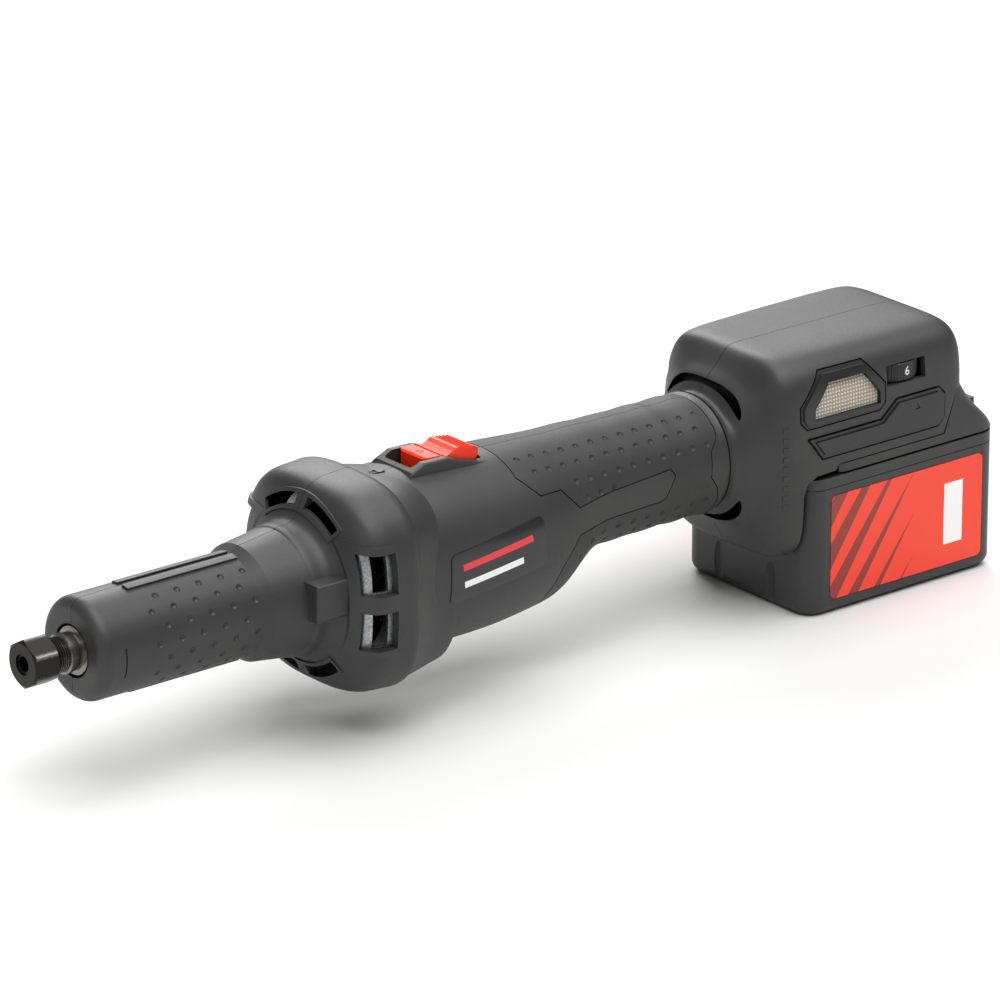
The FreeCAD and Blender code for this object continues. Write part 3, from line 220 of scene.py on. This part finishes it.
cast_alloy = grained_metal("die-cast aluminium", "#b4b6b8", "#7d7f81", 0.4, (1, 1, 1), 0.9)
ground_steel = grained_metal("ground bearing steel", "#b9bcc0", "#9da0a4", 0.2, (0.2, 4, 4), 0.8)
laminations = grained_metal("electrical steel laminations", "#7f8184", "#55575a", 0.4, (0.5, 30, 30), 0.5)
copper = grained_metal("enamelled copper", "#b86b3a", "#8f4d26", 0.3, (6, 0.8, 0.8), 0.6)
plated_magnet = grained_metal("nickel-plated magnet", "#a9aaac", "#8c8d8f", 0.25, (1, 1, 1), 2.0)
spring_steel = grained_metal("drawn spring steel", "#8f9296", "#6f7276", 0.3, (1, 1, 3), 0.5)

# %% [markdown]
# ## Filter cloth
# Behind each side frame is a coarse woven dust cloth. Two crossed waves draw its threads, 1.5 mm apart, and
# the thread that is on top at each crossing lifts the surface. The same height also sets the colour: the low
# gaps between the threads are painted darker, as painted shade.

# %% Woven cloth
def woven_cloth(name, thread_mm):
    material, shader, place = new_material(name, "#a3988a", 0.85)
    waves = {}
    for direction in ("X", "Z"):
        waves[direction] = add_node(
            material, "ShaderNodeTexWave", {"bands_direction": direction, "wave_profile": "SIN"},
            {"Vector": place, "Scale": 0.314 / (thread_mm * MM), "Distortion": 0.6, "Detail": 2.0,
             "Detail Scale": 1.5}).outputs["Fac"]
    weave = add_node(material, "ShaderNodeMath", {"operation": "MULTIPLY"}, {0: waves["X"], 1: waves["Z"]})
    fibre = add_node(material, "ShaderNodeTexNoise", None,
                     {"Vector": place, "Scale": 1 / (0.6 * MM), "Detail": 3.0, "Roughness": 0.7})
    height = add_node(material, "ShaderNodeMath", {"operation": "MULTIPLY_ADD"},
                      {0: fibre.outputs["Fac"], 1: 0.35, 2: weave.outputs["Value"]})
    # Painted shade: the lower the weave at a point, the darker its colour, so the gaps between threads are
    # shaded in the colour.
    tone = add_node(material, "ShaderNodeMapRange", None,
                    {"Value": height.outputs["Value"], "From Min": 0.1, "From Max": 0.95})
    bump = add_node(material, "ShaderNodeBump", None,
                    {"Height": height.outputs["Value"], "Strength": 0.9, "Distance": 0.35 * MM})
    feed(material, shader, Base_Color=blend_colours(material, tone.outputs["Result"], "#857b6e", "#dfd5c5"),
         Normal=bump.outputs["Normal"])
    shader.inputs["Sheen Weight"].default_value = 0.3
    return material


cloth = woven_cloth("woven polyester", 1.5)


# %% [markdown]
# ## Printed labels
# A label is a thin printed film. Its print here is two plain bars, so each is drawn as a rectangle:
# a Compare node gives 1 where a coordinate is near enough to a centre, and two of them multiplied make a
# rectangle.

# %% Printed films
def rectangle(material, along, up, centre, half):
    """1 inside a rectangle of the plane that the outputs along and up measure, in millimetres."""
    sides = [add_node(material, "ShaderNodeMath", {"operation": "COMPARE"}, {0: axis, 1: c * MM, 2: h * MM})
             for axis, c, h in zip((along, up), centre, half)]
    inside = add_node(material, "ShaderNodeMath", {"operation": "MULTIPLY"},
                      {0: sides[0].outputs["Value"], 1: sides[1].outputs["Value"]})
    return inside.outputs["Value"]


def printed_film(name, ground, prints, centre, tilt, roughness=0.3):
    """A film with printed rectangles, each (colour, centre, half size) about the film's own centre."""
    material, shader, place = new_material(name, ground, roughness, ior=1.49, coat=0.25)
    moved = add_node(material, "ShaderNodeMapping", {"vector_type": "TEXTURE"},
                     {"Vector": place, "Location": [c * MM for c in centre], "Rotation": (0, tilt, 0)})
    axes = add_node(material, "ShaderNodeSeparateXYZ", None, {"Vector": moved.outputs["Vector"]})
    colour = ground
    for tint, middle, half in prints:
        inside = rectangle(material, axes.outputs["X"], axes.outputs["Z"], middle, half)
        colour = blend_colours(material, inside, colour, tint)
    feed(material, shader, Base_Color=colour)
    return material


PLATE_MIDDLE = (197.3, 0, 2.9)
PLATE_CLIMB = math.radians(-4.9)
PLATE_BARS = (("#d9202a", (0.0, 3.6), (18.0, 1.3)), ("#ecebe8", (-3.0, -3.4), (15.0, 1.3)))
name_film = printed_film("printed polyester film", "#141517", PLATE_BARS, PLATE_MIDDLE, PLATE_CLIMB)

# %% [markdown]
# The pack's label is a bright orange film with plain slanted stripes over its front half and one blank
# white panel at its rear. The stripes repeat along a slanted direction: the fractional part of the distance
# goes from 0 to 1 in every repeat, and the stripe is where it is under a width that shrinks towards the rear.

# %% Film with slanted stripes
STRIPE_PITCH = 11 * MM
STRIPE_SLOPE = math.radians(38)
PANEL_MIDDLE, PANEL_HALF = (25.0, 0.0), (5.0, 13.0)


def striped_film(name, middle_mm, half_mm):
    material, shader, place = new_material(name, "#f0380f", 0.34, ior=1.49, coat=0.2)
    moved = add_node(material, "ShaderNodeVectorMath", {"operation": "SUBTRACT"},
                     {0: place, 1: [c * MM for c in middle_mm]})
    across = add_node(material, "ShaderNodeVectorMath", {"operation": "DOT_PRODUCT"},
                      {0: moved.outputs["Vector"],
                       1: (math.cos(STRIPE_SLOPE) / STRIPE_PITCH, 0, -math.sin(STRIPE_SLOPE) / STRIPE_PITCH)})
    repeat = add_node(material, "ShaderNodeMath", {"operation": "FRACT"}, {0: across.outputs["Value"]})
    axes = add_node(material, "ShaderNodeSeparateXYZ", None, {"Vector": moved.outputs["Vector"]})
    width = add_node(material, "ShaderNodeMapRange", None,
                     {"Value": axes.outputs["X"], "From Min": -half_mm[0] * MM,
                      "From Max": 0.1 * half_mm[0] * MM, "To Min": 0.6, "To Max": 0.0})
    striped = add_node(material, "ShaderNodeMath", {"operation": "LESS_THAN"},
                       {0: repeat.outputs["Value"], 1: width.outputs["Result"]})
    colour = blend_colours(material, striped.outputs["Value"], "#f23406", "#8c1c0c")
    panel = rectangle(material, axes.outputs["X"], axes.outputs["Z"], PANEL_MIDDLE, PANEL_HALF)
    feed(material, shader, Base_Color=blend_colours(material, panel, colour, "#f3f2ef"))
    return material


label_low, label_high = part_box("battery_label_left")
label_middle = [(a + b) / 2 / MM for a, b in zip(label_low, label_high)]
label_half = [(b - a) / 2 / MM for a, b in zip(label_low, label_high)]
pack_film = striped_film("printed vinyl film", (label_middle[0], 0, label_middle[2]),
                         (label_half[0], label_half[2]))
print("pack label", [round(2 * h, 1) for h in label_half], "mm")

# %% [markdown]
# The inside of the tool holds wires, boards, cells and a black shroud. Each gets the plain finish it has.

# %% Materials of the inside
board_green = grained_plastic("solder mask on glass epoxy", "#24502f", "#1c4226", 0.35, 1.2, 0.02)
chip_epoxy = grained_plastic("moulded epoxy", "#17181a", "#1d1e20", 0.45, 0.6, 0.02)
wire_pvc = grained_plastic("PVC wire sleeve", "#1b1b1d", "#232326", 0.4, 1.0, 0.02)
cell_wrap = grained_plastic("shrink-wrapped PVC", "#2f6f8f", "#29627f", 0.3, 3.0, 0.02)

finishes = {
    "housing": nylon, "dark_plastic": trim_nylon, "soft_grip": soft_rubber, "tool_steel": spindle_steel,
    "bearing_steel": ground_steel, "spring_steel": spring_steel, "alloy": cast_alloy,
    "laminations": laminations, "copper": copper, "magnet": plated_magnet, "orange_plastic": orange_pom,
    "filter_cloth": cloth, "label": name_film, "pack_label": pack_film, "circuit_board": board_green,
    "chips": chip_epoxy, "wire": wire_pvc, "cell_wrap": cell_wrap,
}
own_finish = {"collet_nut": nut_steel, "battery_case": pack_nylon, "battery_cover": pack_nylon}
for part in frame["record"]["subparts"]:
    piece = nodes[part["node"]]
    finish = own_finish.get(part["node"], finishes[part["material_slot"]])
    piece.data.materials.clear()
    piece.data.materials.append(finish)

# %% [markdown]
# ## Small moulded and printed details
# Details under a millimetre are separate thin pieces that stand on the big ones. Each starts as a bmesh
# primitive, is bevelled, and is moved to its place in its own mesh, so that its object stays at the origin.

# %% A helper that finishes a piece
def make_piece(name, mesh_in_progress, finish, body, smooth=True):
    """Turns a bmesh into an object that rides on a body of the frame."""
    bmesh.ops.recalc_face_normals(mesh_in_progress, faces=mesh_in_progress.faces)
    mesh = bpy.data.meshes.new(name)
    mesh_in_progress.to_mesh(mesh)
    mesh_in_progress.free()
    for face in mesh.polygons:
        face.use_smooth = smooth
    mesh.materials.append(finish)
    piece = bpy.data.objects.new(name, mesh)
    bpy.context.scene.collection.objects.link(piece)
    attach(piece, body)
    return piece


def add_bar(target, size_mm, place_mm, turn=None, bevel_mm=0.2):
    """Adds a bevelled bar to a bmesh. turn is a rotation matrix about the bar's own middle."""
    bar = bmesh.ops.create_cube(target, size=1.0)["verts"]
    bmesh.ops.scale(target, vec=[s * MM for s in size_mm], verts=bar)
    edges = list({edge for vert in bar for edge in vert.link_edges})
    rounded = bmesh.ops.bevel(target, geom=edges, offset=bevel_mm * MM, segments=2, profile=0.5,
                              affect="EDGES", material=-1)
    verts = list({vert for face in rounded["faces"] for vert in face.verts} | {v for v in bar if v.is_valid})
    if turn:
        bmesh.ops.rotate(target, cent=(0, 0, 0), matrix=turn, verts=verts)
    bmesh.ops.translate(target, vec=[p * MM for p in place_mm], verts=verts)


# %% [markdown]
# Down the near front corner of the head runs a ladder of raised dashes, where such tools carry a word. The
# corner is curved, so a ray is sent at the head for each dash. Where it lands and which way the surface faces
# there say where the dash goes and how it is turned. Half of its 0.7 mm stands out of the surface.

# %% Raised dashes on the head
DASHES = 9
DASH_BOTTOM, DASH_TOP = -9.0, 22.8
DASH_SIZE = (0.7, 2.4, 2.0)

dashes = bmesh.new()
ray = Vector((0.42, 0.91, 0)).normalized()
for k in range(DASHES):
    height = DASH_BOTTOM + (DASH_TOP - DASH_BOTTOM) * k / (DASHES - 1)
    aim = Vector((341.3, -36.0, height)) * MM
    hit, spot, facing, _ = nodes["head_left"].ray_cast(aim - ray * 50 * MM, ray)
    add_bar(dashes, DASH_SIZE, spot / MM, Matrix.Rotation(math.atan2(facing.y, facing.x), 3, "Z"))
make_piece("head_dashes", dashes, nylon, "motor_unit", smooth=False)

# %% [markdown]
# The thumbwheel is numbered from 1 to 6. The numbers are printed white on its rim, and the chosen one shows
# in the window. Each is a text turned to a mesh, moved out to the rim, and turned round the wheel's axis.

# %% Numbers on the speed dial
NUMBER_HEIGHT = 5.2 * MM
INK_DEPTH = 0.06 * MM
INK_GAP = 0.02 * MM
NUMBER_STEP = math.radians(46)
INDEX_OFFSET = math.radians(3)

printed_white = grained_plastic("white pad-printing ink", "#e9e9e6", "#dcdcd8", 0.5, 0.8, 0.01)
low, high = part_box("speed_dial")
wheel_middle = Vector([(a + b) / 2 for a, b in zip(low, high)])
wheel_radius = (high[0] - low[0]) / 2
numbers = bmesh.new()
for value in range(1, 7):
    text = bpy.data.curves.new(f"number_{value}", "FONT")
    text.body = str(value)
    text.size = NUMBER_HEIGHT
    text.align_x = "CENTER"
    text.align_y = "CENTER"
    text.extrude = INK_DEPTH
    text_object = bpy.data.objects.new(f"number_{value}", text)
    bpy.context.scene.collection.objects.link(text_object)
    flat = bpy.data.meshes.new_from_object(text_object)
    bpy.data.objects.remove(text_object)
    upright = Matrix.Rotation(math.radians(90), 4, "X")
    outward = Matrix.Translation((0, -(wheel_radius + INK_GAP), 0))
    round_wheel = Matrix.Rotation(NUMBER_STEP * (value - 6) + INDEX_OFFSET, 4, "Z")
    flat.transform(Matrix.Translation(wheel_middle) @ round_wheel @ outward @ upright)
    numbers.from_mesh(flat)
make_piece("dial_numbers", numbers, printed_white, "speed_dial", smooth=False)
print("six numbers on a wheel of radius", round(wheel_radius / MM, 1), "mm")

# %% [markdown]
# A small padlock is moulded in front of the slide switch, and it says that the knob locks when pushed there.

# %% Padlock symbol
LOCK_X, LOCK_Z = 166.5, 37.25
SHACKLE_HALF = 1.35
SHACKLE_BEVEL = 0.12

padlock = bmesh.new()
lean = Matrix.Rotation(math.radians(-3), 3, "Y")
add_bar(padlock, (3.0, 4.0, 0.5), (LOCK_X, 0, LOCK_Z), lean, 0.15)
for side in (-1, 1):
    add_bar(padlock, (2.6, 0.6, 0.45), (LOCK_X - 2.6, SHACKLE_HALF * side, LOCK_Z), lean, SHACKLE_BEVEL)
add_bar(padlock, (0.6, 3.3, 0.45), (LOCK_X - 3.9, 0, LOCK_Z), lean, SHACKLE_BEVEL)
make_piece("lock_symbol", padlock, nylon, "motor_unit", smooth=False)

# %% [markdown]
# ## Camera, floor and light
# The camera stands 2.6 m away with a long lens, so the tool is seen almost without perspective. Three soft
# area lights, a broad sun overhead and a pale sky light it the way a catalogue picture is lit.

# %% Camera
CAMERA_PLACE = (-1.37454, -1.96224, 0.95792)
HEADING, PITCH = math.radians(39.2), math.radians(20.5)

camera_data = bpy.data.cameras.new("camera")
camera_data.lens = 252
camera_data.sensor_width = 36
camera_data.clip_end = 20
camera = bpy.data.objects.new("camera", camera_data)
bpy.context.scene.collection.objects.link(camera)
look = Vector((math.sin(HEADING) * math.cos(PITCH), math.cos(HEADING) * math.cos(PITCH), -math.sin(PITCH)))
right = Vector((math.cos(HEADING), -math.sin(HEADING), 0))
up = right.cross(look)
turn = Matrix((right, up, -look)).transposed().to_4x4()
camera.matrix_world = Matrix.Translation(CAMERA_PLACE) @ turn
bpy.context.scene.camera = camera

# %% Floor
FLOOR_HALF = 6.0
FLOOR_DROP = 0.2 * MM

floor_bmesh = bmesh.new()
bmesh.ops.create_grid(floor_bmesh, x_segments=1, y_segments=1, size=FLOOR_HALF)
bmesh.ops.translate(floor_bmesh, verts=floor_bmesh.verts, vec=(0.2, 0, box_at_load[0][2] - FLOOR_DROP))
floor_mesh = bpy.data.meshes.new("floor")
floor_bmesh.to_mesh(floor_mesh)
floor_bmesh.free()
floor = bpy.data.objects.new("floor", floor_mesh)
bpy.context.scene.collection.objects.link(floor)
floor_paint, floor_shader, floor_place = new_material("matte pale paper", "#d2d2d1", 0.9)
floor_mesh.materials.append(floor_paint)

# %% Lights
AREA_LIGHTS = (
    ("key", (-0.9, -1.1, 2.2), 1.0, 16),
    ("back", (1.3, 2.0, 1.5), 1.8, 52),
    ("nose", (-1.6, -0.2, 0.7), 0.6, 3),
)
SUN_POWER = 3.6
SUN_SPREAD = math.radians(70)
SKY_POWER = 0.2

centre = Vector((0.22, 0, 0))
for name, place, size, power in AREA_LIGHTS:
    lamp_data = bpy.data.lights.new(name, "AREA")
    lamp_data.shape = "DISK"
    lamp_data.size = size
    lamp_data.energy = power
    lamp = bpy.data.objects.new(name, lamp_data)
    lamp.location = place
    lamp.rotation_euler = (centre - Vector(place)).to_track_quat("-Z", "Y").to_euler()
    bpy.context.scene.collection.objects.link(lamp)

overhead_data = bpy.data.lights.new("overhead", "SUN")
overhead_data.energy = SUN_POWER
overhead_data.angle = SUN_SPREAD
overhead = bpy.data.objects.new("overhead", overhead_data)
overhead.rotation_euler = (math.radians(12), math.radians(6), 0)
bpy.context.scene.collection.objects.link(overhead)

sky = bpy.data.worlds.new("pale studio")
sky.use_nodes = True
sky.node_tree.nodes["Background"].inputs["Color"].default_value = linear("#ffffff")
sky.node_tree.nodes["Background"].inputs["Strength"].default_value = SKY_POWER
bpy.context.scene.world = sky
bpy.context.scene.view_settings.view_transform = "Standard"
